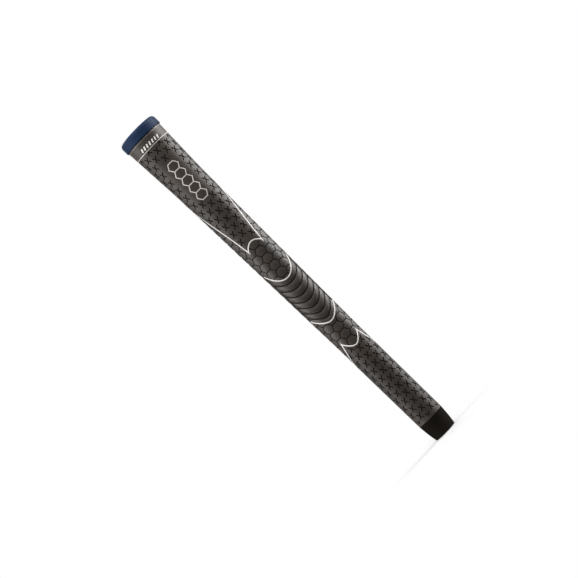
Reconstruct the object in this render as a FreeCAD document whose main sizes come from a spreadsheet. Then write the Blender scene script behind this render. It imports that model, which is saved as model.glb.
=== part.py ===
# A slip-on golf grip: a cushioned sleeve, a felt-backed skin wrapped round it and closed at the
# back, a butt cap and a tip collar.
#
# Millimetres. The grip stands on its mouth: the origin is the centre of the mouth's face, +Z runs
# along the grip to the butt cap, the printed front faces -Y and the wrap's seam is at +Y.
import FreeCAD, Part
import math
import os
import re
import Sketcher

DIMENSIONS = {
    # overall
    "total_length": 267.4,
    # the skin's outer taper: its radius at four heights, and the blends at the two in between
    "collar_height": 13.4,
    "tip_radius": 9.45,
    "low_bend_height": 80.0,
    "low_bend_radius": 9.7,
    "low_blend": 1500.0,
    "high_bend_height": 222.0,
    "high_bend_radius": 11.85,
    "high_blend": 600.0,
    "wrap_end_radius": 13.52,
    # the wrap's layers and its seam
    "skin_thickness": 1.0,
    "felt_thickness": 0.8,
    "seam_width_angle": 4.0,
    # the hole for the shaft
    "mouth_radius": 6.2,
    "mouth_land": 15.0,
    "butt_bore_radius": 7.62,
    "butt_bore_start": 240.0,
    # the butt cap, its lip over the wrap's end and its plug in the sleeve
    "cap_radius": 14.25,
    "cap_height": 7.0,
    "cap_edge_blend": 2.4,
    "cap_lip_depth": 1.2,
    "plug_radius": 7.4,
    "plug_depth": 5.0,
    "vent_radius": 1.6,
    # the tip collar and the sleeve's tail inside it
    "collar_mouth_radius": 7.95,
    "collar_bulge_radius": 8.85,
    "collar_bulge_height": 6.2,
    "collar_bulge_blend": 40.0,
    "collar_edge_blend": 0.7,
    "collar_floor": 3.0,
    "tail_radius": 7.4,
}

doc = FreeCAD.newDocument("golf_grip")
sheet = doc.addObject("Spreadsheet::Sheet", "Sizes")
for row, (alias, value) in enumerate(DIMENSIONS.items(), start=1):
    sheet.set(f"A{row}", alias)
    sheet.set(f"B{row}", str(value))
    sheet.setAlias(f"B{row}", alias)
doc.recompute()

# Lengths that several pieces share, as sheet expressions.
WRAP_END = "total_length - cap_height + cap_lip_depth"
CAP_BASE = "total_length - cap_height"
SKIN_INSET = "skin_thickness"
FELT_INSET = "(skin_thickness + felt_thickness)"
FULL_TURN = 360.0


def from_sheet(text):
    """The same expression with its aliases looked up in the spreadsheet."""
    return re.sub(r"[a-z]\w*", r"Sizes.\g<0>", text)


def number(text):
    return float(sheet.evalExpression(text))


def new_body(label):
    body = doc.addObject("PartDesign::Body", label)
    body.Label = label
    return body


def new_sketch(body, role, name):
    """A sketch on one of the body's own origin planes."""
    plane = next(f for f in body.Origin.OriginFeatures if f.Role == role)
    sketch = body.newObject("Sketcher::SketchObject", name)
    sketch.AttachmentSupport = [(plane, "")]
    sketch.MapMode = "FlatFace"
    return sketch


def bind(sketch, index, text):
    sketch.setExpression(f"Constraints[{index}]", from_sheet(text))


def pin_point(sketch, geometry, end, corner):
    """Binds one point's radius and height to the sheet."""
    for kind, text in zip(("DistanceX", "DistanceY"), corner[:2]):
        index = sketch.addConstraint(Sketcher.Constraint(kind, geometry, end, number(text)))
        bind(sketch, index, text)


def end_at(sketch, geometry, place):
    """Which end of an arc lies at a place: 1 for its start, 2 for its end."""
    to_start = sketch.getPoint(geometry, 1).distanceToPoint(place)
    to_end = sketch.getPoint(geometry, 2).distanceToPoint(place)
    return 1 if to_start < to_end else 2


def add_outline(sketch, corners):
    """A closed half-section in (radius, height). A corner with a third entry is rounded by it."""
    places = [FreeCAD.Vector(number(c[0]), number(c[1]), 0) for c in corners]
    starts, ends, arcs = [], [], []
    for i, corner in enumerate(corners):
        before = (places[i - 1] - places[i]).normalize()
        after = (places[(i + 1) % len(places)] - places[i]).normalize()
        if len(corner) == 2:
            starts.append(places[i])
            ends.append(places[i])
            arcs.append(None)
            continue
        blend, half = number(corner[2]), before.getAngle(after) / 2
        trim = blend / math.tan(half)
        middle = places[i] + (before + after).normalize() * (blend / math.sin(half) - blend)
        ends.append(places[i] + before * trim)
        starts.append(places[i] + after * trim)
        arcs.append(Part.Arc(ends[i], middle, starts[i]))

    count = len(corners)
    lines = [
        sketch.addGeometry(Part.LineSegment(starts[i], ends[(i + 1) % count]), False)
        for i in range(count)
    ]
    for i, corner in enumerate(corners):
        line_in, line_out = lines[i - 1], lines[i]
        if arcs[i] is None:
            sketch.addConstraint(Sketcher.Constraint("Coincident", line_in, 2, line_out, 1))
            pin_point(sketch, line_out, 1, corner)
            continue
        apex = sketch.addGeometry(Part.Point(places[i]), True)
        arc = sketch.addGeometry(arcs[i], False)
        first, last = end_at(sketch, arc, ends[i]), end_at(sketch, arc, starts[i])
        sketch.addConstraint(Sketcher.Constraint("PointOnObject", apex, 1, line_in))
        sketch.addConstraint(Sketcher.Constraint("PointOnObject", apex, 1, line_out))
        sketch.addConstraint(Sketcher.Constraint("Tangent", line_in, 2, arc, first))
        sketch.addConstraint(Sketcher.Constraint("Tangent", line_out, 1, arc, last))
        radius = sketch.addConstraint(Sketcher.Constraint("Radius", arc, number(corner[2])))
        bind(sketch, radius, corner[2])
        pin_point(sketch, apex, 1, corner)


def taper(inset):
    """The grip's taper from the collar to the cap, moved inwards by an inset."""
    return [
        (f"tip_radius - {inset}", "collar_height"),
        (f"low_bend_radius - {inset}", "low_bend_height", "low_blend"),
        (f"high_bend_radius - {inset}", "high_bend_height", "high_blend"),
        (f"wrap_end_radius - {inset}", WRAP_END),
    ]


def revolve(body, sketch, name, angle=None):
    """Turns a half-section about the grip's axis, evenly to both sides of it."""
    turn = body.newObject("PartDesign::Revolution", name)
    turn.Profile = sketch
    turn.ReferenceAxis = (sketch, ["V_Axis"])
    turn.Angle = FULL_TURN
    turn.Midplane = True
    if angle is not None:
        turn.setExpression("Angle", from_sheet(angle))
    return turn


def turned_body(label, corners, angle=None, facing=0.0):
    """A body of one half-section turned about the axis; facing turns it about Z, in degrees."""
    body = new_body(label)
    sketch = new_sketch(body, "XZ_Plane", f"{label}_section")
    add_outline(sketch, corners)
    revolve(body, sketch, f"{label}_turn", angle)
    body.Placement = FreeCAD.Placement(
        FreeCAD.Vector(0, 0, 0), FreeCAD.Rotation(FreeCAD.Vector(0, 0, 1), facing)
    )
    return body


FRONT, BACK = -90.0, 90.0  # turns a section drawn at +X to -Y or to +Y
WRAP_ANGLE = f"{FULL_TURN} - seam_width_angle"


def make_core_sleeve():
    """The moulded cushion: a tail inside the collar, the taper, and the shaft's hole."""
    return turned_body(
        "core_sleeve",
        [
            ("mouth_radius", "collar_floor"),
            ("tail_radius", "collar_floor"),
            ("tail_radius", "collar_height"),
            *taper(FELT_INSET),
            ("plug_radius", WRAP_END),
            ("plug_radius", f"{WRAP_END} - plug_depth"),
            ("butt_bore_radius", f"{WRAP_END} - plug_depth"),
            ("butt_bore_radius", "butt_bore_start"),
            ("mouth_radius", "mouth_land"),
        ],
    )


def make_felt_backing():
    """The wrap's felt layer, open along the seam."""
    return turned_body(
        "felt_backing", [*taper(FELT_INSET), *reversed(taper(SKIN_INSET))], WRAP_ANGLE, FRONT
    )


def make_grip_skin():
    """The wrap's outer layer, open along the seam."""
    return turned_body("grip_skin", [*taper(SKIN_INSET), *reversed(taper("0"))], WRAP_ANGLE, FRONT)


def make_seam_fill():
    """The strip that closes the wrap's seam, as thick as both layers."""
    return turned_body(
        "seam_fill", [*taper(FELT_INSET), *reversed(taper("0"))], "seam_width_angle", BACK
    )


def make_tip_collar():
    """The end collar: a bored floor, and a cup for the sleeve's tail."""
    return turned_body(
        "tip_collar",
        [
            ("mouth_radius", "0"),
            ("collar_mouth_radius", "0", "collar_edge_blend"),
            ("collar_bulge_radius", "collar_bulge_height", "collar_bulge_blend"),
            ("tip_radius", "collar_height"),
            ("tail_radius", "collar_height"),
            ("tail_radius", "collar_floor"),
            ("mouth_radius", "collar_floor"),
        ],
    )


def make_butt_cap():
    """The cap: a plug in the sleeve, a lip over the wrap's end, a rounded edge and a vent."""
    body = turned_body(
        "butt_cap",
        [
            ("0", f"{WRAP_END} - plug_depth"),
            ("plug_radius", f"{WRAP_END} - plug_depth"),
            ("plug_radius", WRAP_END),
            ("wrap_end_radius", WRAP_END),
            ("wrap_end_radius", CAP_BASE),
            ("cap_radius", CAP_BASE),
            ("cap_radius", "total_length", "cap_edge_blend"),
            ("0", "total_length"),
        ],
    )
    circle = new_sketch(body, "XY_Plane", "vent_circle")
    hole = circle.addGeometry(Part.Circle(FreeCAD.Vector(0, 0, 0), FreeCAD.Vector(0, 0, 1), 1), False)
    circle.addConstraint(Sketcher.Constraint("Coincident", hole, 3, -1, 1))
    radius = circle.addConstraint(Sketcher.Constraint("Radius", hole, number("vent_radius")))
    bind(circle, radius, "vent_radius")
    doc.recompute()
    solid_volume = body.Shape.Volume
    vent = body.newObject("PartDesign::Pocket", "vent")
    vent.Profile = circle
    vent.Type = "ThroughAll"
    vent.Reversed = True  # upwards, from the origin plane through the cap
    doc.recompute()
    if body.Shape.Volume >= solid_volume:
        raise RuntimeError("the vent cuts nothing")
    return body


MAKERS = (
    make_core_sleeve,
    make_felt_backing,
    make_grip_skin,
    make_seam_fill,
    make_butt_cap,
    make_tip_collar,
)
pieces = [make() for make in MAKERS]
doc.recompute()

failed = [o.Name for o in doc.Objects if {"Invalid", "Error"} & set(o.State)]
if failed:
    raise RuntimeError(f"objects that failed: {failed}")
for piece in pieces:
    if piece.Shape.isNull() or not piece.Shape.isValid() or len(piece.Shape.Solids) != 1:
        raise RuntimeError(f"{piece.Label} has no single valid solid")

os.makedirs("parts", exist_ok=True)
for piece in pieces:
    piece.Shape.exportStep(f"parts/{piece.Label}.step")
    box = piece.Shape.optimalBoundingBox(False, False)
    print(f"{piece.Label}: {piece.Shape.Volume:.1f} mm3, z {box.ZMin:.2f} to {box.ZMax:.2f}, "
          f"{box.XLength:.2f} x {box.YLength:.2f}")
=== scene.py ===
"""A wrapped golf grip: the embossed skin, its printed lines, the cap and the collar.

The wrap is drawn flat first. A point on it is (x, z): x is the length round the surface from the
middle of the front, and z is the height above the mouth, both in millimetres. wrap_points() rolls
it onto the grip's own outline, which is read from the frame.
"""
import math

import bpy
import numpy as np
from mathutils import Matrix, Vector
from mathutils.geometry import delaunay_2d_cdt


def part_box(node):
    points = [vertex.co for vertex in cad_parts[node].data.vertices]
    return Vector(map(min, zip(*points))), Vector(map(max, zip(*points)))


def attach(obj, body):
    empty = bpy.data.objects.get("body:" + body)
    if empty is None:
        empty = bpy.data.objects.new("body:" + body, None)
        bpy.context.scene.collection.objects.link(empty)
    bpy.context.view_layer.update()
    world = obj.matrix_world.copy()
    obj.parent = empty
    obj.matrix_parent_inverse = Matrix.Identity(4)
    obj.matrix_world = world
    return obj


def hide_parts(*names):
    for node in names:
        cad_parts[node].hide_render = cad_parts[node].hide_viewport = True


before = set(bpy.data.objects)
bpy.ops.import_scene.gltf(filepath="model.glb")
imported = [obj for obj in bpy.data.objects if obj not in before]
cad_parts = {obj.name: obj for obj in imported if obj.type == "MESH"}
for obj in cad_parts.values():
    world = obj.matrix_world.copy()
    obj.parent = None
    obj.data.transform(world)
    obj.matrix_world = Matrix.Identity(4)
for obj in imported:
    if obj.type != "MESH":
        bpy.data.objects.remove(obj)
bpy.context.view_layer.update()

MM = 0.001


# ---------------------------------------------------------------- the wrap's outline
def turned_profile(node):
    """Heights and outer radii of a turned CAD node, in millimetres, from its outward faces."""
    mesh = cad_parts[node].data
    section = {}
    for face in mesh.polygons:
        if face.normal.x * face.center.x + face.normal.y * face.center.y <= 0:
            continue
        for index in face.vertices:
            x, y, z = mesh.vertices[index].co / MM
            height = round(z, 2)
            section[height] = max(section.get(height, 0.0), math.hypot(x, y))
    heights = sorted(section)
    return np.array(heights), np.array([section[height] for height in heights])


WRAP_HEIGHTS, WRAP_RADII = turned_profile("grip_skin")
WRAP_BOTTOM, WRAP_TOP = WRAP_HEIGHTS[0], WRAP_HEIGHTS[-1]
CAP_LIP = 1.2  # how far the cap reaches down over the wrap's end
WRAP_SHOWN_TOP = WRAP_TOP - CAP_LIP
SEAM_HALF_ANGLE = math.asin(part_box("seam_fill")[1].x / MM / WRAP_RADII[-1])
SKIN_THICKNESS = 1.0
WRAP_THICKNESS = 1.8  # the skin and its felt


def radius_at(z):
    return np.interp(z, WRAP_HEIGHTS, WRAP_RADII)


def half_width(z):
    """Half the flat wrap's width: from the middle of the front to the seam."""
    return radius_at(z) * (math.pi - SEAM_HALF_ANGLE)


def wrap_points(flat, height):
    """Rolls flat points (x, z) onto the grip, raised by a height, and returns metres."""
    x, z = flat[:, 0], flat[:, 1]
    radius = radius_at(z)
    angle = x / radius
    out = radius + height
    return np.column_stack((out * np.sin(angle), -out * np.cos(angle), z)) * MM


# ---------------------------------------------------------------- the pattern, on the flat wrap
# Cross marks fill both ends of the wrap, six-sided cells its middle, and curved ribs a panel on the
# front of the middle. White lines divide them.
ROW_STEP = 4.7  # cross marks: rows round the grip, every other one half a step along
MARK_STEP = 6.61
UPPER_MARK_HEIGHT = 248.3  # one mark of the front row in each end
LOWER_MARK_HEIGHT = 74.7
BAND_MARK_HEIGHT = 252.8  # the band's one ring of marks is half a step above this
MARK_REGION_MARGIN = 5.0  # how far below the upper shoulder marks are looked for
MARK_ARM = (1.3, 1.76)  # from a mark's centre to an arm's tip, round the grip and along it
MARK_HALF_WIDTH, MARK_FLOOR_HALF_WIDTH, MARK_DEPTH = 0.43, 0.18, 0.45
# How far a mark's edge stays from a border, the seam, the end ring, and the outermost lines.
BORDER_CLEAR, SEAM_CLEAR, RING_CLEAR, END_CLEAR = 0.45, 0.7, 0.35, 0.3

CELL_STEP = 6.055  # six-sided cells: along the grip, and from row to row round it
CELL_ROW_STEP = 6.0
CELL_FLAT_HALF = 2.0  # half the length of the sides that lie across the grip
CELL_TIP = CELL_ROW_STEP - CELL_FLAT_HALF  # from a cell's centre to its corner at the side
CELL_HEIGHT = 93.3  # one cell of the front row
CELL_HALF_WIDTH, CELL_FLOOR_HALF_WIDTH, CELL_DEPTH = 0.31, 0.14, 0.42
CELL_EDGE_DROP, CELL_DOME_REACH = 0.11, 2.4
CELL_ROUNDING = 0.2

RIB_COUNT, RIB_FIRST_HEIGHT, RIB_STEP = 7, 133.1, 5.14
RIB_RISE, RIB_RISE_CHANGE = 0.87, -0.15  # of the first groove, and from the first to the last
RIB_SOFTNESS, RIB_SOFTNESS_CHANGE = 8.5, -6.5
RIB_HALF_WIDTH, RIB_FLOOR_HALF_WIDTH, RIB_DEPTH = 0.44, 0.18, 0.55
RIB_EDGE_DROP, RIB_DOME_REACH = 0.26, 2.1
PANEL_HALF_WIDTH = 12.5

# Curves across the front: the height in the middle, the rise outwards, and how round the middle is.
UPPER_BOW, LOWER_BOW = (168.4, -2.6, 12.0), (77.85, 1.58, 5.0)
PANEL_TOP, PANEL_BOTTOM = (136.7, 2.92, 20.0), (98.95, 0.97, 5.0)
UPPER_SHOULDER = (6.25, 164.8)  # where the bow meets the side line
LOWER_SHOULDER = (7.35, 84.0)
# How a side line moves outwards: factors of the height from its shoulder, its square and its cube.
UPPER_FLARE = (0.135, 0.0022, 0.000014)
LOWER_FLARE = (0.3, 0.01)
SEAM_SEARCH_STEP = 0.05

RING_HEIGHT, UPPER_RING_HEIGHT = 252.6, 259.5
GUIDE_ROOM = (206.0, 241.0, 6.0)  # kept free of marks: from, to, and how far to each side
BAND_ROOM = 16.0  # above the ring, the front is free of marks as far as this to each side
SEAM_EDGE_DROP, SEAM_EDGE_REACH = 0.30, 0.9


def bow(x, apex, rise, softness):
    """A curve across the front: lowest or highest at x = 0, round there, and straighter outside."""
    return apex + rise * (np.sqrt(x * x + softness * softness) - softness)


def upper_bow(x):
    return bow(x, *UPPER_BOW)


def panel_top(x):
    return bow(x, *PANEL_TOP)


def panel_bottom(x):
    return bow(x, *PANEL_BOTTOM)


def lower_bow(x):
    return bow(x, *LOWER_BOW)


def upper_side(z):
    """How far from the front's middle the upper side line is, at a height."""
    up = z - UPPER_SHOULDER[1]
    first, second, third = UPPER_FLARE
    return UPPER_SHOULDER[0] + first * up + second * up**2 + third * up**3


def lower_side(z):
    down = LOWER_SHOULDER[1] - z
    first, second = LOWER_FLARE
    return LOWER_SHOULDER[0] + first * down + second * down**2


def rib_line(i, x):
    """Height of a rib's groove. Each one down the grip is sharper in the middle than the last."""
    share = i / (RIB_COUNT - 1)
    rise = RIB_RISE + RIB_RISE_CHANGE * share
    return bow(x, RIB_FIRST_HEIGHT - RIB_STEP * i, rise, RIB_SOFTNESS + RIB_SOFTNESS_CHANGE * share)


MARKS, CELLS, RIBS = range(3)


def zone_of(x, z):
    """Which pattern covers each flat point."""
    across = np.abs(x)
    upper = np.where(
        across <= UPPER_SHOULDER[0],
        z > upper_bow(across),
        (z > UPPER_SHOULDER[1]) & (across < upper_side(z)),
    )
    lower = np.where(
        across <= LOWER_SHOULDER[0],
        z < lower_bow(across),
        (z < LOWER_SHOULDER[1]) & (across < lower_side(z)),
    )
    ribs = (across < PANEL_HALF_WIDTH) & (z > panel_bottom(across)) & (z < panel_top(across))
    zone = np.full(np.shape(x), CELLS)
    zone[ribs] = RIBS
    zone[upper | lower | (z > RING_HEIGHT)] = MARKS
    return zone


def both_sides(points):
    """A line from the front's middle outwards, and its mirror image, as one line."""
    return np.vstack((points[::-1] * (-1, 1), points[1:]))


def along(start, stop, step):
    """Even steps from start to stop, each about as long as step."""
    return np.linspace(start, stop, max(2, int(abs(stop - start) / step) + 1))


def level_line(start, stop, z, step):
    """A line round the wrap at one height."""
    x = along(start, stop, step)
    return np.column_stack((x, np.full(len(x), z)))


def seam_height(side, start, direction):
    """Where a side line meets the seam."""
    z = start
    while side(z) < half_width(z):
        z += direction * SEAM_SEARCH_STEP
    return z


LINE_STEP = 0.5


def side_line(side, shoulder, direction):
    z = along(shoulder[1], seam_height(side, shoulder[1], direction), LINE_STEP)
    return np.column_stack((side(z), z))


def bow_line(curve, reach):
    x = along(0.0, reach, LINE_STEP)
    return both_sides(np.column_stack((x, curve(x))))


UPPER_SIDE_LINE = side_line(upper_side, UPPER_SHOULDER, 1)
LOWER_SIDE_LINE = side_line(lower_side, LOWER_SHOULDER, -1)
UPPER_BOW_LINE = bow_line(upper_bow, UPPER_SHOULDER[0])
LOWER_BOW_LINE = bow_line(lower_bow, LOWER_SHOULDER[0])
PANEL_TOP_LINE = bow_line(panel_top, PANEL_HALF_WIDTH)
PANEL_BOTTOM_LINE = bow_line(panel_bottom, PANEL_HALF_WIDTH)
PANEL_SIDE_HEIGHTS = along(panel_bottom(PANEL_HALF_WIDTH), panel_top(PANEL_HALF_WIDTH), LINE_STEP)
PANEL_SIDE_LINE = np.column_stack(
    (np.full(len(PANEL_SIDE_HEIGHTS), PANEL_HALF_WIDTH), PANEL_SIDE_HEIGHTS)
)
MIRROR = np.array((-1, 1))
BORDERS = [
    UPPER_SIDE_LINE,
    UPPER_SIDE_LINE * MIRROR,
    LOWER_SIDE_LINE,
    LOWER_SIDE_LINE * MIRROR,
    UPPER_BOW_LINE,
    LOWER_BOW_LINE,
    PANEL_TOP_LINE,
    PANEL_BOTTOM_LINE,
    PANEL_SIDE_LINE,
    PANEL_SIDE_LINE * MIRROR,
]


# ---------------------------------------------------------------- distances on the flat wrap
def segments_of(lines):
    """Start and end points of every stretch of several lines."""
    starts = np.vstack([line[:-1] for line in lines])
    ends = np.vstack([line[1:] for line in lines])
    return starts, ends


def distance_to(points, segments, batch=2000):
    """Distance from each point to the nearest of the segments."""
    starts, ends = segments
    run = ends - starts
    length2 = np.maximum((run * run).sum(1), 1e-12)
    result = np.empty(len(points))
    for first in range(0, len(points), batch):
        part = points[first : first + batch, None, :]
        share = np.clip(((part - starts) * run).sum(2) / length2, 0.0, 1.0)
        gap = part - starts - share[:, :, None] * run
        result[first : first + batch] = np.sqrt((gap * gap).sum(2).min(1))
    return result


def beside(points, line, half):
    """Which points lie within half a strip's width of its line, and not past its ends."""
    near = distance_to(points, segments_of([line])) < half
    if np.allclose(line[0], line[-1]):
        return near
    before = (points - line[0]) @ (line[1] - line[0]) < 0
    after = (points - line[-1]) @ (line[-1] - line[-2]) > 0
    return near & ~before & ~after


def cell_sides():
    """The normal of a cell's slanted sides, and their distance from its centre."""
    normal = np.array((CELL_STEP / 2, CELL_TIP - CELL_FLAT_HALF))
    normal /= np.hypot(*normal)
    return normal, normal[0] * CELL_TIP


def cell_distance(x, z):
    """How far inside its six-sided cell each point is."""
    half_step = CELL_STEP / 2
    normal, reach = cell_sides()
    row = np.round(x / CELL_ROW_STEP)
    best = np.full(np.shape(x), -np.inf)
    for near in (row - 1, row, row + 1):
        shift = np.where(near % 2 == 0, 0.0, half_step)
        u = np.abs(x - near * CELL_ROW_STEP)
        v = z - CELL_HEIGHT - shift
        v = np.abs(v - np.round(v / CELL_STEP) * CELL_STEP)
        best = np.maximum(best, np.minimum(half_step - v, reach - normal[0] * u - normal[1] * v))
    return best


# ---------------------------------------------------------------- cross marks
BAND_MARGIN = MARK_STEP / 4
MARK_REGIONS = (  # a mark's height in each lattice, and the heights that the lattice lies between
    (UPPER_MARK_HEIGHT, UPPER_SHOULDER[1] - MARK_REGION_MARGIN, RING_HEIGHT),
    (BAND_MARK_HEIGHT, BAND_MARK_HEIGHT + BAND_MARGIN, UPPER_RING_HEIGHT - BAND_MARGIN),
    (LOWER_MARK_HEIGHT, WRAP_BOTTOM, LOWER_SHOULDER[1]),
)


def whole_marks():
    """Centres of all the lattices' cross marks, before the borders take some away."""
    for anchor, low, high in MARK_REGIONS:
        rows = int(half_width(high) / ROW_STEP) + 1
        for row in range(-rows, rows + 1):
            shift = 0.0 if row % 2 == 0 else MARK_STEP / 2
            first = math.ceil((low - anchor - shift) / MARK_STEP)
            last = math.floor((high - anchor - shift) / MARK_STEP)
            for k in range(first, last + 1):
                yield row * ROW_STEP, anchor + shift + k * MARK_STEP


def kept_free(x, z):
    """Whether a mark's centre falls where the front's printed marks are."""
    low, high, side = GUIDE_ROOM
    return (low < z < high and abs(x) < side) or (z > RING_HEIGHT and abs(x) < BAND_ROOM)


BORDER_SEGMENTS = segments_of(BORDERS)
MARK_CORNERS = np.array([(1, 1), (-1, -1), (1, -1), (-1, 1)])  # in pairs of opposite arms


def clear_of_borders(points):
    """Which points can be part of a mark's middle line."""
    x, z = points[:, 0], points[:, 1]
    clear = zone_of(x, z) == MARKS
    clear &= distance_to(points, BORDER_SEGMENTS) > MARK_HALF_WIDTH + BORDER_CLEAR
    clear &= half_width(z) - np.abs(x) > MARK_HALF_WIDTH + SEAM_CLEAR
    clear &= np.abs(z - RING_HEIGHT) > MARK_HALF_WIDTH + RING_CLEAR
    clear &= z < UPPER_RING_HEIGHT - MARK_HALF_WIDTH - END_CLEAR
    clear &= z > WRAP_BOTTOM + MARK_HALF_WIDTH + END_CLEAR
    return clear


def strokes_of(centre):
    """One mark's strokes, as start and end points. An arm that would touch a border is left off."""
    arms = MARK_CORNERS * MARK_ARM
    clear = clear_of_borders(np.vstack((centre, centre + arms, centre + arms / 2)))
    if not clear[0]:
        return []
    strokes = []
    arm_clear = clear[1:5] & clear[5:9]
    for a, b in ((0, 1), (2, 3)):
        if arm_clear[a] and arm_clear[b]:
            strokes.append((centre + arms[a], centre + arms[b]))
        elif arm_clear[a] or arm_clear[b]:
            strokes.append((centre, centre + arms[a if arm_clear[a] else b]))
    return strokes


def mark_strokes():
    """All the marks' strokes: their start points and their end points."""
    strokes = []
    for x, z in whole_marks():
        if not kept_free(x, z):
            strokes.extend(strokes_of(np.array((x, z))))
    starts, ends = (np.array(points) for points in zip(*strokes))
    return starts, ends


CAPSULE_TURNS = np.radians((90, 30, -30, -90))  # round each end of a stroke


def capsule(start, end, half):
    """The outline of a stroke with round ends."""
    run = (end - start) / np.hypot(*(end - start))
    out = np.array((-run[1], run[0]))
    far = [end + half * (math.cos(t) * run + math.sin(t) * out) for t in CAPSULE_TURNS]
    near = [start - half * (math.cos(t) * run + math.sin(t) * out) for t in CAPSULE_TURNS]
    middle = (start + end) / 2
    return np.array([middle + half * out, *far, middle - half * out, *near])


STROKES = mark_strokes()


# ---------------------------------------------------------------- relief
def trench(distance, half, floor_half, depth):
    """Depth below the surface at a distance from a groove's middle."""
    return -depth * np.clip((half - distance) / (half - floor_half), 0.0, 1.0)


def dome(distance, drop, reach):
    """A gentle fall towards an edge."""
    return -drop * (1.0 - np.clip(distance / reach, 0.0, 1.0)) ** 2


def rib_lines():
    x = along(0.0, PANEL_HALF_WIDTH, LINE_STEP)
    return [both_sides(np.column_stack((x, rib_line(i, x)))) for i in range(RIB_COUNT)]


RIB_LINES = rib_lines()
RIB_SEGMENTS = segments_of([*RIB_LINES, PANEL_SIDE_LINE, PANEL_SIDE_LINE * MIRROR])

EDGE_SLACK = 0.02  # a groove's edge points count as outside it


def relief(points):
    """Each flat point's height over the nominal surface, and whether it is inside a groove."""
    x, z = points[:, 0], points[:, 1]
    zone = zone_of(x, z)
    height, groove = np.zeros(len(points)), np.zeros(len(points), bool)

    at = zone == MARKS
    distance = distance_to(points[at], STROKES)
    height[at] = trench(distance, MARK_HALF_WIDTH, MARK_FLOOR_HALF_WIDTH, MARK_DEPTH)
    groove[at] = distance < MARK_HALF_WIDTH - EDGE_SLACK

    at = zone == CELLS
    distance = cell_distance(x[at], z[at])
    height[at] = trench(distance, CELL_HALF_WIDTH, CELL_FLOOR_HALF_WIDTH, CELL_DEPTH)
    height[at] += dome(distance - CELL_HALF_WIDTH, CELL_EDGE_DROP, CELL_DOME_REACH)
    groove[at] = distance < CELL_HALF_WIDTH - EDGE_SLACK

    at = zone == RIBS
    distance = distance_to(points[at], RIB_SEGMENTS)
    height[at] = trench(distance, RIB_HALF_WIDTH, RIB_FLOOR_HALF_WIDTH, RIB_DEPTH)
    height[at] += dome(distance - RIB_HALF_WIDTH, RIB_EDGE_DROP, RIB_DOME_REACH)
    groove[at] = distance < RIB_HALF_WIDTH - EDGE_SLACK

    height += dome(half_width(z) - np.abs(x), SEAM_EDGE_DROP, SEAM_EDGE_REACH)
    return height, groove


# ---------------------------------------------------------------- lines to triangulate between
MERGE_DISTANCE = 1e-4
THINNEST = 1e-5  # twice the area of the smallest triangle that is kept, in square millimetres


class Drawing:
    """Points and edges on the flat wrap, for the triangulation."""

    def __init__(self):
        self.points, self.edges = [], []

    def add_line(self, line, closed=False):
        first = len(self.points)
        self.points.extend(map(tuple, line))
        count = len(line)
        self.edges.extend((first + i, first + i + 1) for i in range(count - 1))
        if closed:
            self.edges.append((first + count - 1, first))

    def add_points(self, points):
        self.points.extend(map(tuple, points))

    def triangles(self, keep):
        """Flat points, the triangles that keep() accepts, and where each drawn point went."""
        vectors = [Vector(p) for p in self.points]
        verts, _, faces, sources, *_ = delaunay_2d_cdt(vectors, self.edges, [], 0, MERGE_DISTANCE)
        flat = np.array([(v.x, v.y) for v in verts])
        faces = np.array([f for f in faces if len(f) == 3])
        corners = flat[faces]
        doubled = np.cross(corners[:, 1] - corners[:, 0], corners[:, 2] - corners[:, 0])
        faces = faces[(np.abs(doubled) > THINNEST) & keep(corners.mean(1))]
        used = np.unique(faces)
        renumber = np.full(len(flat), -1)
        renumber[used] = np.arange(len(used))
        went = np.full(len(self.points), -1)
        for vertex, drawn in enumerate(sources):
            went[drawn] = renumber[vertex]
        return flat[used], renumber[faces], went


def resampled(loop, step):
    """A closed outline with extra points so that no stretch is longer than a step."""
    points = []
    for start, end in zip(loop, np.roll(loop, -1, axis=0)):
        pieces = max(1, math.ceil(np.hypot(*(end - start)) / step))
        points.extend(start + (end - start) * i / pieces for i in range(pieces))
    return np.array(points)


def sideways(line):
    """The unit vector across a line, at each of its points."""
    run = np.gradient(line, axis=0)
    run /= np.hypot(run[:, 0], run[:, 1])[:, None]
    return np.column_stack((-run[:, 1], run[:, 0]))


def rounded(corners, rounding):
    """A closed outline with three points in place of each corner."""
    loop = []
    for before, corner, after in zip(np.roll(corners, 1, 0), corners, np.roll(corners, -1, 0)):
        back = corner + (before - corner) / np.hypot(*(before - corner)) * rounding
        on = corner + (after - corner) / np.hypot(*(after - corner)) * rounding
        loop.extend((back, (back + 2 * corner + on) / 4, on))
    return np.array(loop)


def cell_outline(inset):
    """The corners of a six-sided cell about its centre, drawn in by an inset."""
    normal, reach = cell_sides()
    reach -= inset
    top = CELL_STEP / 2 - inset
    tip, shoulder = reach / normal[0], (reach - normal[1] * top) / normal[0]
    upper = [(tip, 0), (shoulder, top), (-shoulder, top)]
    return np.array([*upper, *((-x, -z) for x, z in upper)])


def draw_where(drawing, line, wanted, closed=False):
    """Draws the stretches of a line that have an end where it is wanted."""
    if closed:
        line = np.vstack((line, line[:1]))
    inside = wanted(line)
    keep = inside[:-1] | inside[1:]
    start = None
    for i, kept in enumerate([*keep, False]):
        if kept and start is None:
            start = i
        if not kept and start is not None:
            drawing.add_line(line[start : i + 1])
            start = None


def in_zone(zone):
    """A test of which points of the wrap one pattern covers."""

    def wanted(points):
        at_seam = half_width(points[:, 1]) - np.abs(points[:, 0])
        return (zone_of(points[:, 0], points[:, 1]) == zone) & (at_seam > 0)

    return wanted


EDGE_STEP = 1.0


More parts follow.
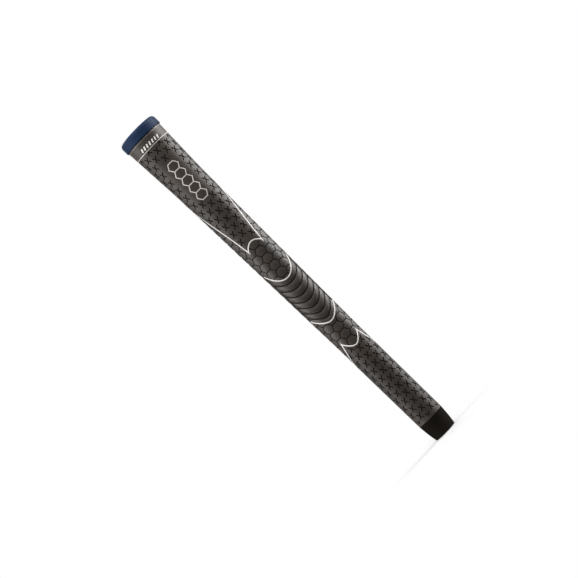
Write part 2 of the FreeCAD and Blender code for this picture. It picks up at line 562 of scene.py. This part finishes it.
def draw_cells(drawing):
    outlines = [
        resampled(rounded(cell_outline(CELL_HALF_WIDTH), CELL_ROUNDING), EDGE_STEP),
        resampled(cell_outline(CELL_FLOOR_HALF_WIDTH), EDGE_STEP),
    ]
    low, high = LOWER_SIDE_LINE[:, 1].min(), UPPER_SIDE_LINE[:, 1].max()
    rows = int(half_width(high) / CELL_ROW_STEP) + 1
    wanted = in_zone(CELLS)
    for row in range(-rows, rows + 1):
        anchor = CELL_HEIGHT + (0.0 if row % 2 == 0 else CELL_STEP / 2)
        first = math.floor((low - anchor) / CELL_STEP) - 1
        last = math.ceil((high - anchor) / CELL_STEP) + 1
        for k in range(first, last + 1):
            centre = np.array((row * CELL_ROW_STEP, anchor + k * CELL_STEP))
            for outline in outlines:
                draw_where(drawing, outline + centre, wanted, closed=True)


def draw_ribs(drawing):
    wanted = in_zone(RIBS)
    for line in [*RIB_LINES, PANEL_SIDE_LINE, PANEL_SIDE_LINE * MIRROR]:
        for half in (RIB_HALF_WIDTH, RIB_FLOOR_HALF_WIDTH):
            for side in (-half, half):
                draw_where(drawing, line + sideways(line) * side, wanted)


def draw_marks(drawing):
    for start, end in zip(*STROKES):
        for half in (MARK_HALF_WIDTH, MARK_FLOOR_HALF_WIDTH):
            drawing.add_line(capsule(start, end, half), closed=True)


FILL_STEP, INNER_FILL_STEP = 0.85, 3.0
FILL_CLEAR = 0.26


def wrap_outline():
    """The flat wrap's outline: up one seam edge, across the top, down the other and back."""
    z = along(WRAP_BOTTOM, WRAP_TOP, EDGE_STEP)
    right = np.column_stack((half_width(z), z))
    left = (right * MIRROR)[::-1]
    top = level_line(right[-1, 0], left[0, 0], WRAP_TOP, EDGE_STEP)
    bottom = level_line(left[-1, 0], right[0, 0], WRAP_BOTTOM, EDGE_STEP)
    return np.vstack((right[:-1], top[:-1], left[:-1], bottom[:-1]))


def fill_points(step):
    """An even spread of points over the wrap."""
    widest = half_width(WRAP_TOP)
    rows = along(WRAP_BOTTOM + step, WRAP_TOP - step, step * math.sqrt(3) / 2)
    points = []
    for i, z in enumerate(rows):
        x = np.arange(-widest + (i % 2) * step / 2, widest, step)
        points.append(np.column_stack((x, np.full(len(x), z))))
    points = np.vstack(points)
    return points[half_width(points[:, 1]) - np.abs(points[:, 0]) > step / 2]


def on_wrap(points):
    return np.abs(points[:, 0]) < half_width(points[:, 1])


def clear_of_grooves(points):
    """Which fill points are far enough from every groove's edge to leave well-shaped triangles."""
    zone = zone_of(points[:, 0], points[:, 1])
    clear = distance_to(points, BORDER_SEGMENTS) > FILL_CLEAR
    at = zone == MARKS
    clear[at] &= distance_to(points[at], STROKES) > MARK_HALF_WIDTH + FILL_CLEAR
    at = zone == CELLS
    clear[at] &= cell_distance(points[at, 0], points[at, 1]) > CELL_HALF_WIDTH + FILL_CLEAR
    at = zone == RIBS
    clear[at] &= distance_to(points[at], RIB_SEGMENTS) > RIB_HALF_WIDTH + FILL_CLEAR
    return clear


# ---------------------------------------------------------------- meshes
SHARP_ANGLE = math.radians(38)


def new_piece(name, points, faces, slots, materials, replaced=(), corner_map=None):
    """A mesh object that rides on the frame.

    slots holds each face's material number, and corner_map each face corner's place on a texture.
    """
    mesh = bpy.data.meshes.new(name)
    mesh.from_pydata([tuple(p) for p in points], [], [tuple(map(int, f)) for f in faces])
    for material in materials:
        mesh.materials.append(material)
    mesh.polygons.foreach_set("material_index", np.asarray(slots, np.int32))
    if corner_map is not None:
        layer = mesh.uv_layers.new(name="OFBake")
        layer.uv.foreach_set("vector", corner_map.astype(np.float32).ravel())
    mesh.shade_smooth()
    mesh.set_sharp_from_angle(angle=SHARP_ANGLE)
    mesh.validate()
    piece = bpy.data.objects.new(name, mesh)
    bpy.context.scene.collection.objects.link(piece)
    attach(piece, "root")
    if replaced:
        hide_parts(*replaced)
    return piece


def boundary_edges(faces):
    """Edges that only one triangle uses, in that triangle's direction."""
    edges = np.vstack((faces[:, (0, 1)], faces[:, (1, 2)], faces[:, (2, 0)]))
    keys = np.sort(edges, axis=1)
    _, first, count = np.unique(keys, axis=0, return_index=True, return_counts=True)
    return edges[first[count == 1]]


def facing_out(flat, faces):
    """The same triangles, all turned to face away from the grip."""
    corners = flat[faces]
    turn = np.cross(corners[:, 1] - corners[:, 0], corners[:, 2] - corners[:, 0])
    faces = faces.copy()
    faces[turn < 0] = faces[turn < 0][:, ::-1]
    return faces


OUTER_BAND, INNER_BAND = (0.005, 0.93), (0.945, 0.05)  # across the texture: from, and how wide
UP_BAND = (0.004, 0.992)
WALL_BAND = 0.003


def unrolled(flat, band):
    """Where points of the wrap lie on its texture, inside a band of it."""
    across = 0.5 + flat[:, 0] / (2 * half_width(WRAP_TOP))
    up = (flat[:, 1] - WRAP_BOTTOM) / (WRAP_TOP - WRAP_BOTTOM)
    return np.column_stack((band[0] + band[1] * across, UP_BAND[0] + UP_BAND[1] * up))


def unrolled_walls(outer_map, rim):
    """The walls' corners on the texture: thin strips along the outer sheet's edges."""
    starts, ends = outer_map[rim[:, 0]], outer_map[rim[:, 1]]
    run = ends - starts
    run /= np.hypot(run[:, 0], run[:, 1])[:, None]
    away = np.column_stack((run[:, 1], -run[:, 0])) * WALL_BAND
    return np.stack((starts, starts + away, ends + away, ends), axis=1).reshape(-1, 2)


# ---------------------------------------------------------------- the embossed skin
def outer_sheet():
    """Flat points and triangles of the whole pattern."""
    drawing = Drawing()
    drawing.add_line(wrap_outline(), closed=True)
    for border in BORDERS:
        drawing.add_line(border)
    draw_cells(drawing)
    draw_ribs(drawing)
    draw_marks(drawing)
    fill = fill_points(FILL_STEP)
    drawing.add_points(fill[clear_of_grooves(fill)])
    flat, faces, _ = drawing.triangles(on_wrap)
    return flat, facing_out(flat, faces)


def inner_sheet(flat, rim):
    """A plain sheet inside the outer one's rim, and the point of it below each point of the rim."""
    rim_points = np.unique(rim)
    order = {int(p): i for i, p in enumerate(rim_points)}
    drawing = Drawing()
    drawing.add_points(flat[rim_points])
    drawing.edges = [(order[int(a)], order[int(b)]) for a, b in rim]
    drawing.add_points(fill_points(INNER_FILL_STEP))
    inner_flat, faces, went = drawing.triangles(on_wrap)
    below = {int(p): went[i] for i, p in enumerate(rim_points)}
    return inner_flat, facing_out(inner_flat, faces)[:, ::-1], below


PEBBLED_SLOT, GROOVE_SLOT, WOVEN_SLOT = range(3)


def skin_slots(flat, faces, groove):
    """Which material each of the outer sheet's triangles has."""
    middles = flat[faces].mean(axis=1)
    in_marks = zone_of(middles[:, 0], middles[:, 1]) == MARKS
    slots = np.where(in_marks, WOVEN_SLOT, PEBBLED_SLOT)
    slots[groove[faces].any(axis=1)] = GROOVE_SLOT
    return slots


def make_skin():
    """The embossed outer skin: a detailed outer sheet, a plain inner one, and the edges between."""
    flat, faces = outer_sheet()
    height, groove = relief(flat)
    rim = boundary_edges(faces)
    inner_flat, inner_faces, below = inner_sheet(flat, rim)
    count = len(flat)
    walls = [(a, count + below[int(a)], count + below[int(b)], b) for a, b in rim]
    points = np.vstack((wrap_points(flat, height), wrap_points(inner_flat, -SKIN_THICKNESS)))
    plain = np.full(len(inner_faces) + len(walls), PEBBLED_SLOT)

    outer_map = unrolled(flat, OUTER_BAND)
    inner_map = unrolled(inner_flat, INNER_BAND)[inner_faces.ravel()]
    corner_map = np.vstack((outer_map[faces.ravel()], inner_map, unrolled_walls(outer_map, rim)))
    return new_piece(
        "embossed_skin",
        points,
        [*faces, *(inner_faces + count), *walls],
        np.concatenate((skin_slots(flat, faces, groove), plain)),
        [pebbled, groove_black, woven],
        ("grip_skin",),
        corner_map,
    )


# ---------------------------------------------------------------- the other meshes
def strip_outline(line, half):
    """The closed outline of a strip along a line."""
    out = sideways(line) * half[:, None]
    return np.vstack((line + out, (line - out)[::-1]))


def inlay(name, lines, half_widths, top, crown, depth, material):
    """Raised lines on the wrap: flat strips along several lines, merged where they meet."""
    drawing = Drawing()
    for line, half in zip(lines, half_widths):
        drawing.add_line(strip_outline(line, np.broadcast_to(half, len(line))), closed=True)
        drawing.add_line(line)
    strips = [(line, float(np.max(half))) for line, half in zip(lines, half_widths)]

    def inside(points):
        return np.any([beside(points, line, half) for line, half in strips], axis=0)

    flat, faces, _ = drawing.triangles(inside)
    faces = facing_out(flat, faces)
    off_middle = [distance_to(flat, segments_of([line])) / half for line, half in strips]
    height = top + crown * (1.0 - np.clip(np.min(off_middle, axis=0), 0, 1) ** 2)
    count = len(flat)
    walls = [(a, a + count, b + count, b) for a, b in boundary_edges(faces)]
    points = np.vstack((wrap_points(flat, height), wrap_points(flat, np.full(count, -depth))))
    all_faces = [*faces, *(faces[:, ::-1] + count), *walls]
    slots = np.zeros(len(all_faces), int)
    return new_piece(name, points, all_faces, slots, [material])


LATHE_SEGMENTS = 160


def lathe(name, profile, material, replaced):
    """A closed section, in (radius, height) millimetres, turned about the grip's axis."""
    count = len(profile)
    angles = np.arange(LATHE_SEGMENTS) * 2 * math.pi / LATHE_SEGMENTS
    ring = np.column_stack((np.sin(angles), -np.cos(angles)))
    points = np.array([(r * s, r * c, z) for s, c in ring for r, z in profile]) * MM
    faces = []
    for i in range(LATHE_SEGMENTS):
        a, b = i * count, (i + 1) % LATHE_SEGMENTS * count
        for j in range(count):
            k = (j + 1) % count
            faces.append((a + j, b + j, b + k, a + k))
    return new_piece(name, points, faces, np.zeros(len(faces), int), [material], replaced)


def arc(centre, radius, start, stop, pieces):
    """Points on a section's rounded corner, angles in degrees from +radius towards +height."""
    return [
        (centre[0] + radius * math.cos(t), centre[1] + radius * math.sin(t))
        for t in np.radians(np.linspace(start, stop, pieces + 1))
    ]


# ---------------------------------------------------------------- materials
PATCH_SCALE, GLOSS_SCALE = 70.0, 500.0  # noise scales per metre
PATCH_DETAIL, GRAIN_DETAIL = 5.0, 3.0
TONE_POSITIONS = (0.36, 0.64)  # of the two tones, on the noise's range
SHEEN_ROUGHNESS = 0.5
WEAVE_PITCH = 0.00085
WEAVE_RADIUS = 0.011  # a middling radius of the grip


def srgb(r, g, b):
    """A colour given as 8-bit sRGB, in linear light."""
    return [c / 3294.6 if c < 11 else ((c / 255 + 0.055) / 1.055) ** 2.4 for c in (r, g, b)] + [1.0]


def noise(nodes, links, place, scale, detail=2.0):
    node = nodes.new("ShaderNodeTexNoise")
    node.inputs["Scale"].default_value = scale
    node.inputs["Detail"].default_value = detail
    links.new(place.outputs["Object"], node.inputs["Vector"])
    return node.outputs["Fac"]


def calculate(nodes, links, operation, *values):
    """A math node on sockets and numbers."""
    node = nodes.new("ShaderNodeMath")
    node.operation = operation
    for socket, value in zip(node.inputs, values):
        if isinstance(value, bpy.types.NodeSocket):
            links.new(value, socket)
        else:
            socket.default_value = value
    return node.outputs["Value"]


def weave(nodes, links, place):
    """Two crossed sets of fine ridges that run slantwise round the grip, from -1 to 1."""
    split = nodes.new("ShaderNodeSeparateXYZ")
    links.new(place.outputs["Object"], split.inputs["Vector"])
    backward = calculate(nodes, links, "MULTIPLY", split.outputs["Y"], -1.0)
    turn = calculate(nodes, links, "ARCTAN2", split.outputs["X"], backward)
    across = calculate(nodes, links, "MULTIPLY", turn, WEAVE_RADIUS)
    radians_per_metre = 2 * math.pi / (WEAVE_PITCH * math.sqrt(2))
    ridges = []
    for slant in ("ADD", "SUBTRACT"):
        place_along = calculate(nodes, links, slant, across, split.outputs["Z"])
        phase = calculate(nodes, links, "MULTIPLY", place_along, radians_per_metre)
        ridges.append(calculate(nodes, links, "SINE", phase))
    return calculate(nodes, links, "MULTIPLY", *ridges)


def mottled(nodes, links, place, tones):
    """A colour that wanders between two tones in soft patches."""
    ramp = nodes.new("ShaderNodeValToRGB")
    for element, position, tone in zip(ramp.color_ramp.elements, TONE_POSITIONS, tones):
        element.position = position
        element.color = tone
    links.new(noise(nodes, links, place, PATCH_SCALE, PATCH_DETAIL), ramp.inputs["Fac"])
    return ramp.outputs["Color"]


def uneven(nodes, links, place, middle, spread):
    """A roughness that wanders about its middle."""
    gloss = nodes.new("ShaderNodeMapRange")
    gloss.inputs["To Min"].default_value = middle - spread
    gloss.inputs["To Max"].default_value = middle + spread
    links.new(noise(nodes, links, place, GLOSS_SCALE), gloss.inputs["Value"])
    return gloss.outputs["Result"]


def grained(nodes, links, place, grains, weave_depth):
    """A surface's bumps: each size of grain, and the weave where it has a depth."""
    height = 0.0
    for scale, depth in grains:
        grain = noise(nodes, links, place, scale, GRAIN_DETAIL)
        height = calculate(nodes, links, "MULTIPLY_ADD", grain, depth, height)
    if weave_depth:
        ridges = weave(nodes, links, place)
        height = calculate(nodes, links, "MULTIPLY_ADD", ridges, weave_depth, height)
    bump = nodes.new("ShaderNodeBump")
    bump.inputs["Distance"].default_value = MM
    links.new(height, bump.inputs["Height"])
    return bump.outputs["Normal"]


def moulded(name, tones, roughness, grains, shine=0.5, sheen=0.0, weave_depth=0.0):
    """A soft moulded surface: two tones in soft patches, fine grain, uneven gloss, maybe a weave.

    roughness is the middle and the spread. grains are each noise's scale per metre and its depth in
    millimetres, and weave_depth is in millimetres too.
    """
    material = bpy.data.materials.new(name)
    material.use_nodes = True
    nodes, links = material.node_tree.nodes, material.node_tree.links
    shader = nodes["Principled BSDF"]
    place = nodes.new("ShaderNodeTexCoord")
    links.new(mottled(nodes, links, place, tones), shader.inputs["Base Color"])
    links.new(uneven(nodes, links, place, *roughness), shader.inputs["Roughness"])
    links.new(grained(nodes, links, place, grains, weave_depth), shader.inputs["Normal"])
    shader.inputs["Specular IOR Level"].default_value = shine
    shader.inputs["Sheen Weight"].default_value = sheen
    shader.inputs["Sheen Roughness"].default_value = SHEEN_ROUGHNESS
    return material


RUBBER = (srgb(33, 25, 18), srgb(46, 37, 29))
PRINT_AND_HIGHLIGHT_GRAIN = ((2500.0, 0.02),)
pebbled = moulded("skin_pebbled", RUBBER, (0.50, 0.08), ((4200.0, 0.05), (1400.0, 0.06)), sheen=0.1)
woven = moulded(
    "skin_woven", RUBBER, (0.54, 0.08), ((3600.0, 0.03),), shine=0.42, sheen=0.1, weave_depth=0.018
)
groove_black = moulded(
    "groove", (srgb(14, 12, 11), srgb(20, 17, 15)), (0.85, 0.05), ((3000.0, 0.03),), shine=0.3
)
white = moulded("print_white", (srgb(200, 196, 192), srgb(219, 215, 212)), (0.5, 0.08), PRINT_AND_HIGHLIGHT_GRAIN)
pale = moulded("print_pale", (srgb(176, 170, 166), srgb(196, 190, 186)), (0.5, 0.08), PRINT_AND_HIGHLIGHT_GRAIN)
# A painted highlight: the faint pale grey of the ring at the wrap's top edge stands in for light
# caught by the edge of the cap's lip.
faint = moulded("painted_lip_highlight", (srgb(108, 102, 98), srgb(132, 126, 122)), (0.5, 0.08), PRINT_AND_HIGHLIGHT_GRAIN)
blue = moulded(
    "cap_blue", (srgb(19, 34, 57), srgb(24, 41, 66)), (0.56, 0.06), ((1800.0, 0.02),), shine=0.08
)
black = moulded(
    "collar_black", (srgb(16, 13, 11), srgb(22, 19, 16)), (0.8, 0.08), ((2600.0, 0.03),), shine=0.03
)
foam = moulded(
    "sleeve_rubber", (srgb(38, 38, 40), srgb(52, 52, 54)), (0.85, 0.08), ((1500.0, 0.08),)
)
felt = moulded(
    "felt", (srgb(120, 117, 112), srgb(160, 156, 150)), (0.95, 0.03), ((2600.0, 0.2),), sheen=0.4
)
sealer = moulded(
    "seam_sealer", (srgb(30, 26, 23), srgb(40, 35, 32)), (0.45, 0.1), ((1500.0, 0.04),)
)

for node, material in (("core_sleeve", foam), ("felt_backing", felt)):
    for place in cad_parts[node].material_slots:
        place.material = material

# ---------------------------------------------------------------- the printed lines, and a ring of painted highlight by the cap
WHITE_HALF, END_RING_HALF, CAP_RING_HALF, BAR_HALF, GUIDE_HALF = 0.36, 0.19, 0.13, 0.5, 0.30
UPPER_SPUR, LOWER_SPUR = 1.9, 1.2  # how far the shoulders' spurs run past them
SPUR_SHARES = np.array((1.0, 0.8, 0.6, 0.4, 0.2))  # points along a spur, from its tip
SPUR_WIDTHS = np.array((0.25, 0.45, 0.65, 0.85, 1.0))  # its width there, as a share of the line's
BARS, BAR_STEP, BAR_HEIGHT, BAR_SLANT = 7, 2.3, 2.3, 0.9
BAR_OFFSET = 1.1  # of the bars' lower ends from the end ring
GUIDE_CELLS, GUIDE_FIRST = 5, 210.3


def with_spur(side, length):
    """A side line that starts in a pointed spur, and its half width at each point."""
    run = side[0] - side[3]
    run /= np.hypot(*run)
    spur = np.array([side[0] + run * length * share for share in SPUR_SHARES])
    line = np.vstack((spur, side))
    half = np.full(len(line), WHITE_HALF)
    half[: len(spur)] = WHITE_HALF * SPUR_WIDTHS
    return line, half


def make_dividing_lines():
    """The white lines between the patterns."""
    lines, halves = [], []
    for side, length in ((UPPER_SIDE_LINE, UPPER_SPUR), (LOWER_SIDE_LINE, LOWER_SPUR)):
        line, half = with_spur(side, length)
        lines.extend((line, line * MIRROR))
        halves.extend((half, half))
    bows = [UPPER_BOW_LINE, LOWER_BOW_LINE, PANEL_TOP_LINE, PANEL_BOTTOM_LINE]
    halves.extend([WHITE_HALF] * len(bows))
    inlay("dividing_lines", lines + bows, halves, top=0.02, crown=0.10, depth=0.75, material=white)


def make_ring(name, z, half, crown, material):
    """A thin line all the way round the wrap."""
    line = level_line(-half_width(z), half_width(z), z, LINE_STEP)
    inlay(name, [line], [half], top=0.01, crown=crown, depth=0.3, material=material)


def make_bars():
    """A row of short slanted bars above the end ring."""
    share = along(0.0, 1.0, LINE_STEP / BAR_HEIGHT)
    z = RING_HEIGHT + BAR_OFFSET + BAR_HEIGHT * share
    slant = BAR_SLANT * (share - 0.5)
    lines = [np.column_stack(((i - (BARS - 1) / 2) * BAR_STEP + slant, z)) for i in range(BARS)]
    inlay("grip_bars", lines, [BAR_HALF] * BARS, top=0.02, crown=0.03, depth=0.3, material=white)


def make_guide():
    """A column of cells, the shape and size of the middle's, drawn in outline up the front."""
    lines = []
    for i in range(GUIDE_CELLS):
        line = resampled(cell_outline(0.0) + (0.0, GUIDE_FIRST + i * CELL_STEP), LINE_STEP)
        lines.append(np.vstack((line, line[:1])))
    halves = [GUIDE_HALF] * GUIDE_CELLS
    inlay("front_guide", lines, halves, top=0.01, crown=0.03, depth=0.3, material=pale)


# ---------------------------------------------------------------- the seam, the cap and the collar
SEAM_DROP, SEAM_CROWN = 0.34, 0.08  # how far the strip lies below the wrap, and rises in its middle
SEAM_SHARES = np.linspace(-1.0, 1.0, 7)


def make_seam():
    """The sealing strip along the back, a little below the wrap's edges."""
    z = along(WRAP_BOTTOM, WRAP_TOP, EDGE_STEP)
    points, faces = [], []
    for height in z:
        radius = radius_at(height)
        top = [
            (share * SEAM_HALF_ANGLE, radius - SEAM_DROP + SEAM_CROWN * (1 - share**2))
            for share in SEAM_SHARES
        ]
        foot = [(side * SEAM_HALF_ANGLE, radius - WRAP_THICKNESS) for side in (1, -1)]
        for angle, out in top + foot:
            points.append((-out * math.sin(angle) * MM, out * math.cos(angle) * MM, height * MM))
    count = len(SEAM_SHARES) + 2
    for i in range(len(z) - 1):
        a, b = i * count, (i + 1) * count
        for j in range(count):
            k = (j + 1) % count
            faces.append((a + j, a + k, b + k, b + j))
    faces.append(tuple(range(count))[::-1])
    faces.append(tuple(range(len(points) - count, len(points))))
    slots = np.zeros(len(faces), int)
    return new_piece("seam_strip", points, faces, slots, [sealer], ("seam_fill",))


VENT_RADIUS, VENT_EDGE = 1.6, 0.4
PLUG_RADIUS = 7.4
CAP_EDGE, CAP_FOOT = 2.4, 0.35  # the roundings of the cap's end and of its rim beside the wrap
CAP_SIDE_START = 2.2  # where the cap's side is straight from, above its rim
RECESS_INNER, RECESS_OUTER, RECESS_DEPTH, RECESS_SLOPE = 8.2, 9.0, 0.35, 0.2  # the ring in its end


def make_cap():
    """The cap: a vent, a shallow ring in its end, a rounded edge, and its plug in the sleeve."""
    low, high = (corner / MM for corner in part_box("butt_cap"))
    radius, top, plug_bottom = high.x, high.z, low.z
    base = WRAP_SHOWN_TOP
    wrap_radius = float(radius_at(WRAP_TOP))
    profile = [
        (VENT_RADIUS, plug_bottom),
        (VENT_RADIUS, top - VENT_EDGE),
        (VENT_RADIUS + VENT_EDGE, top),
        (RECESS_INNER - RECESS_SLOPE, top),
        (RECESS_INNER, top - RECESS_DEPTH),
        (RECESS_OUTER, top - RECESS_DEPTH),
        (RECESS_OUTER + RECESS_SLOPE, top),
        *arc((radius - CAP_EDGE, top - CAP_EDGE), CAP_EDGE, 90, 0, 12),
        (radius, base + CAP_SIDE_START),
        *arc((radius - CAP_FOOT, base + CAP_FOOT), CAP_FOOT, 0, -90, 4),
        (wrap_radius, base),
        (wrap_radius, WRAP_TOP),
        (PLUG_RADIUS, WRAP_TOP),
        (PLUG_RADIUS, plug_bottom),
    ]
    return lathe("cap_shell", profile[::-1], blue, ("butt_cap",))


BORE_RADIUS, TAIL_RADIUS, COLLAR_FLOOR = 6.2, 7.4, 3.0
MOUTH_EDGE = 0.35  # the bevel round the shaft's hole
COLLAR_FOOT, COLLAR_LIP = 0.7, 0.3  # the roundings of the collar's mouth and of its top edge
COLLAR_ROUND_ENDS = (1.0, 0.5)  # the stretches of the frame's outline that they replace


def make_collar():
    """The collar: the frame's bulged outline with rounded ends, and a cup for the sleeve's tail."""
    heights, radii = turned_profile("tip_collar")
    top, top_radius = heights[-1], radii[-1]
    keep = (heights > COLLAR_ROUND_ENDS[0]) & (heights < top - COLLAR_ROUND_ENDS[1])
    mouth_radius = float(np.interp(COLLAR_FOOT, heights, radii))
    profile = [
        (BORE_RADIUS + MOUTH_EDGE, 0.0),
        *arc((mouth_radius - COLLAR_FOOT, COLLAR_FOOT), COLLAR_FOOT, -90, 0, 6),
        *zip(radii[keep], heights[keep]),
        *arc((top_radius - COLLAR_LIP, top - COLLAR_LIP), COLLAR_LIP, 0, 90, 4),
        (TAIL_RADIUS, top),
        (TAIL_RADIUS, COLLAR_FLOOR),
        (BORE_RADIUS, COLLAR_FLOOR),
        (BORE_RADIUS, MOUTH_EDGE),
    ]
    return lathe("collar_shell", profile, black, ("tip_collar",))


make_skin()
make_dividing_lines()
make_ring("end_ring", RING_HEIGHT, END_RING_HALF, 0.03, pale)
# Not print: a painted highlight, a faint pale line where the lip between the wrap and the cap
# catches light.
make_ring("cap_ring", UPPER_RING_HEIGHT, CAP_RING_HALF, 0.02, faint)
make_bars()
make_guide()
make_seam()
make_cap()
make_collar()

# ---------------------------------------------------------------- camera, light and floor
LEAN = math.radians(45.86)  # how far the grip leans from upright in the picture
TURN = math.radians(2.2)  # how far the camera stands to the left of the grip's front
CAMERA_DISTANCE = 1.399
SENSOR_WIDTH = 36.0
FOCAL_LENGTH = 140.6
CLIP_END = 20.0
LOOK_AT = Vector((-0.0042, 0.0, 0.13114))
MIDDLE = Vector((0.0, 0.0, 0.13))
LIGHTS = (  # name, place, size and power
    ("key", (1.05, 0.20, 0.50), (0.6, 1.1), 28.0),
    ("fill", (-1.0, -0.15, 0.48), (0.6, 1.1), 14.0),
    ("top", (0.0, -0.75, 1.10), (0.8, 0.8), 16.5),
    ("behind", (-0.2, 1.0, 0.9), (0.8, 1.0), 16.0),
)
FLOOR_RADIUS = 0.065
FLOOR_LEVEL = -0.0002
FLOOR_CORNERS = 64
FLOOR_GREY, FLOOR_GLOW = 0.28, 0.35
FLOOR_FADE = (0.1, 0.98)  # where the floor starts and ends to clear, as shares of its radius
WORLD_LIGHT = 0.18
WHITE = (1.0, 1.0, 1.0, 1.0)


def make_camera():
    """A long lens, rolled so that the upright grip leans as it does in the picture."""
    data = bpy.data.cameras.new("camera")
    data.sensor_width = SENSOR_WIDTH
    data.lens = FOCAL_LENGTH
    data.clip_end = CLIP_END
    back = Vector((-math.sin(TURN), -math.cos(TURN), 0.0))
    side, upright = Vector((math.cos(TURN), -math.sin(TURN), 0.0)), Vector((0.0, 0.0, 1.0))
    right = side * math.cos(LEAN) - upright * math.sin(LEAN)
    up = side * math.sin(LEAN) + upright * math.cos(LEAN)
    camera = bpy.data.objects.new("camera", data)
    facing = Matrix((right, up, back)).transposed().to_4x4()
    camera.matrix_world = Matrix.Translation(LOOK_AT + back * CAMERA_DISTANCE) @ facing
    bpy.context.scene.collection.objects.link(camera)
    bpy.context.scene.camera = camera


def soft_light(name, place, size, watts):
    """A rectangular lamp that faces the grip's middle."""
    data = bpy.data.lights.new(name, "AREA")
    data.shape = "RECTANGLE"
    data.size, data.size_y = size
    data.energy = watts
    light = bpy.data.objects.new(name, data)
    light.location = place
    light.rotation_mode = "QUATERNION"
    light.rotation_quaternion = (MIDDLE - Vector(place)).to_track_quat("-Z", "Y")
    bpy.context.scene.collection.objects.link(light)


def floor_material():
    """White and faintly lit from below, clear towards its edge, so that it has no horizon."""
    material = bpy.data.materials.new("floor")
    material.use_nodes = True
    nodes, links = material.node_tree.nodes, material.node_tree.links
    shader = nodes["Principled BSDF"]
    shader.inputs["Base Color"].default_value = (FLOOR_GREY, FLOOR_GREY, FLOOR_GREY, 1.0)
    shader.inputs["Roughness"].default_value = 1.0
    shader.inputs["Specular IOR Level"].default_value = 0.0
    shader.inputs["Emission Color"].default_value = WHITE
    shader.inputs["Emission Strength"].default_value = FLOOR_GLOW
    place, length = nodes.new("ShaderNodeTexCoord"), nodes.new("ShaderNodeVectorMath")
    length.operation = "LENGTH"
    links.new(place.outputs["Object"], length.inputs[0])
    fade = nodes.new("ShaderNodeMapRange")
    fade.interpolation_type = "SMOOTHSTEP"
    fade.inputs["From Min"].default_value = FLOOR_RADIUS * FLOOR_FADE[0]
    fade.inputs["From Max"].default_value = FLOOR_RADIUS * FLOOR_FADE[1]
    fade.inputs["To Min"].default_value = 1.0
    fade.inputs["To Max"].default_value = 0.0
    links.new(length.outputs["Value"], fade.inputs["Value"])
    links.new(fade.outputs["Result"], shader.inputs["Alpha"])
    return material


def make_floor():
    mesh = bpy.data.meshes.new("floor")
    turns = [i * 2 * math.pi / FLOOR_CORNERS for i in range(FLOOR_CORNERS)]
    rim = [(FLOOR_RADIUS * math.cos(t), FLOOR_RADIUS * math.sin(t), FLOOR_LEVEL) for t in turns]
    mesh.from_pydata(rim, [], [tuple(range(FLOOR_CORNERS))])
    mesh.materials.append(floor_material())
    floor = bpy.data.objects.new("floor", mesh)
    bpy.context.scene.collection.objects.link(floor)


def background(nodes, strength):
    node = nodes.new("ShaderNodeBackground")
    node.inputs["Color"].default_value = WHITE
    node.inputs["Strength"].default_value = strength
    return node.outputs["Background"]


def make_world():
    """White to the camera, and a dim even light to everything else."""
    world = bpy.data.worlds.new("studio")
    bpy.context.scene.world = world
    world.use_nodes = True
    nodes, links = world.node_tree.nodes, world.node_tree.links
    nodes.clear()
    path, mix = nodes.new("ShaderNodeLightPath"), nodes.new("ShaderNodeMixShader")
    output = nodes.new("ShaderNodeOutputWorld")
    links.new(path.outputs["Is Camera Ray"], mix.inputs["Fac"])
    links.new(background(nodes, WORLD_LIGHT), mix.inputs[1])
    links.new(background(nodes, 1.0), mix.inputs[2])
    links.new(mix.outputs["Shader"], output.inputs["Surface"])


make_camera()
for light in LIGHTS:
    soft_light(*light)
make_floor()
make_world()
bpy.context.scene.view_settings.view_transform = "Standard"
